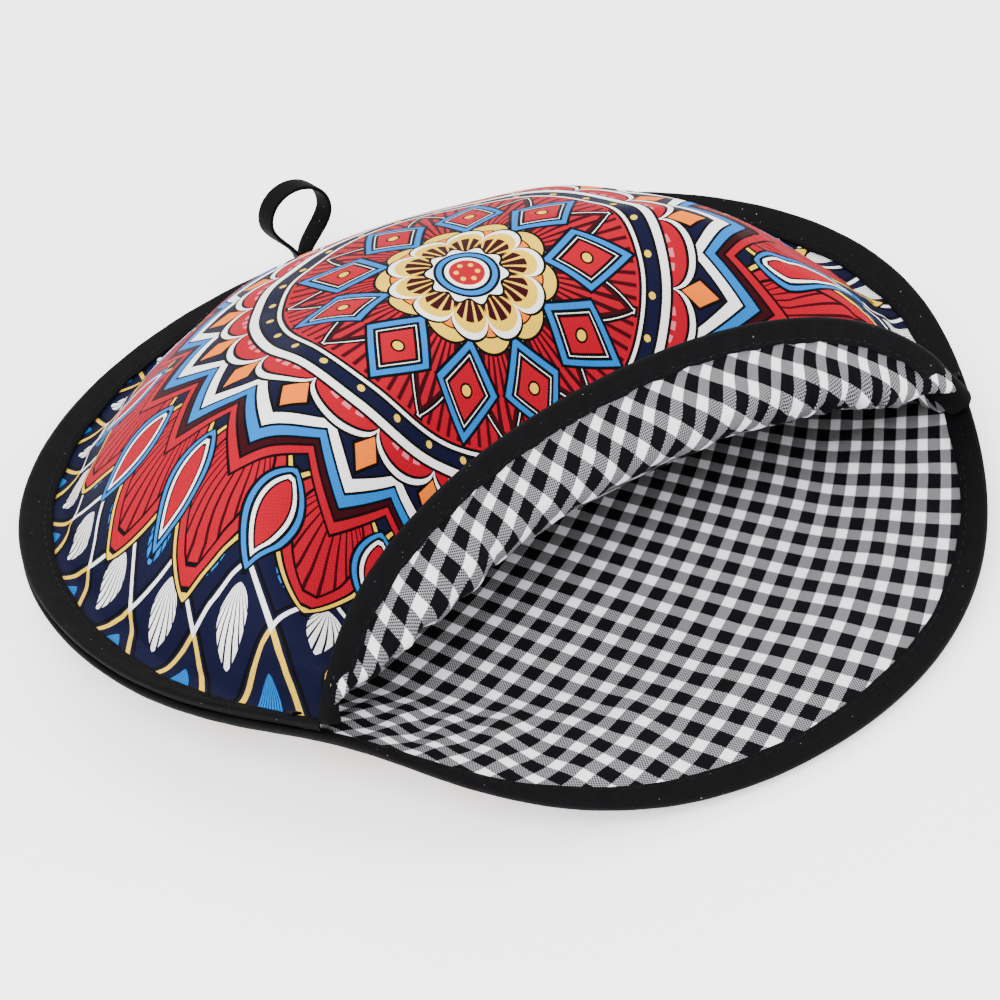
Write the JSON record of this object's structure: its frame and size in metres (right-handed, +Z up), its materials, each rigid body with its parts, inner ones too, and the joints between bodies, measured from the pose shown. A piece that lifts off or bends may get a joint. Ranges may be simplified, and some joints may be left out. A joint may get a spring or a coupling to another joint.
{
  "type": "cloth tortilla warmer",
  "caption": "Round padded cloth pouch with an arched open mouth, checked lining, black bound edges and a hanging loop, for keeping a stack of flat bread warm.",
  "frame": {"origin": "centre of the flat round face that the pouch rests on", "axes": "+Z up, the mouth faces -Y, +X to the right seen from the mouth"},
  "size_m": [0.3055, 0.3126, 0.0787],
  "materials": {
    "printed_cloth": "printed woven cloth with a fine weave",
    "gingham": "black and white gingham",
    "batting": "soft needled batting",
    "black_tape": "matt bias tape",
    "black_thread": "sewing thread"
  },
  "bodies": {
    "pouch": {"bottom_shell": "printed_cloth", "bottom_batting": "batting", "bottom_lining": "gingham", "bottom_binding": "black_tape", "bottom_binding_stitching": "black_thread", "dome_shell": "printed_cloth", "dome_batting": "batting", "dome_lining": "gingham", "bend_shell": "printed_cloth", "bend_batting": "batting", "bend_lining": "gingham", "rim_binding": "black_tape", "rim_binding_stitching": "black_thread", "left_corner_tack": "black_thread", "right_corner_tack": "black_thread"},
    "mouth_flap": {"flap_shell": "printed_cloth", "flap_batting": "batting", "flap_lining": "gingham", "mouth_binding": "black_tape", "mouth_binding_stitching": "black_thread"},
    "hanging_loop": {"hanging_loop": "black_tape"}
  },
  "joints": [
    {"name": "mouth_hinge", "type": "hinge", "parent": "pouch", "child": "mouth_flap", "pos_m": [0, -0.07434, 0.02598], "axis": [0.9995, -0.0027, -0.0311], "range_deg": [-12, 15], "deforming": ["bend_shell", "bend_batting", "bend_lining"]},
    {"name": "loop_hinge", "type": "hinge", "parent": "pouch", "child": "hanging_loop", "pos_m": [0.01905, 0.15513, 0.0061], "axis": [0.9925, -0.1219, 0], "range_deg": [-90, 0]}
  ]
}
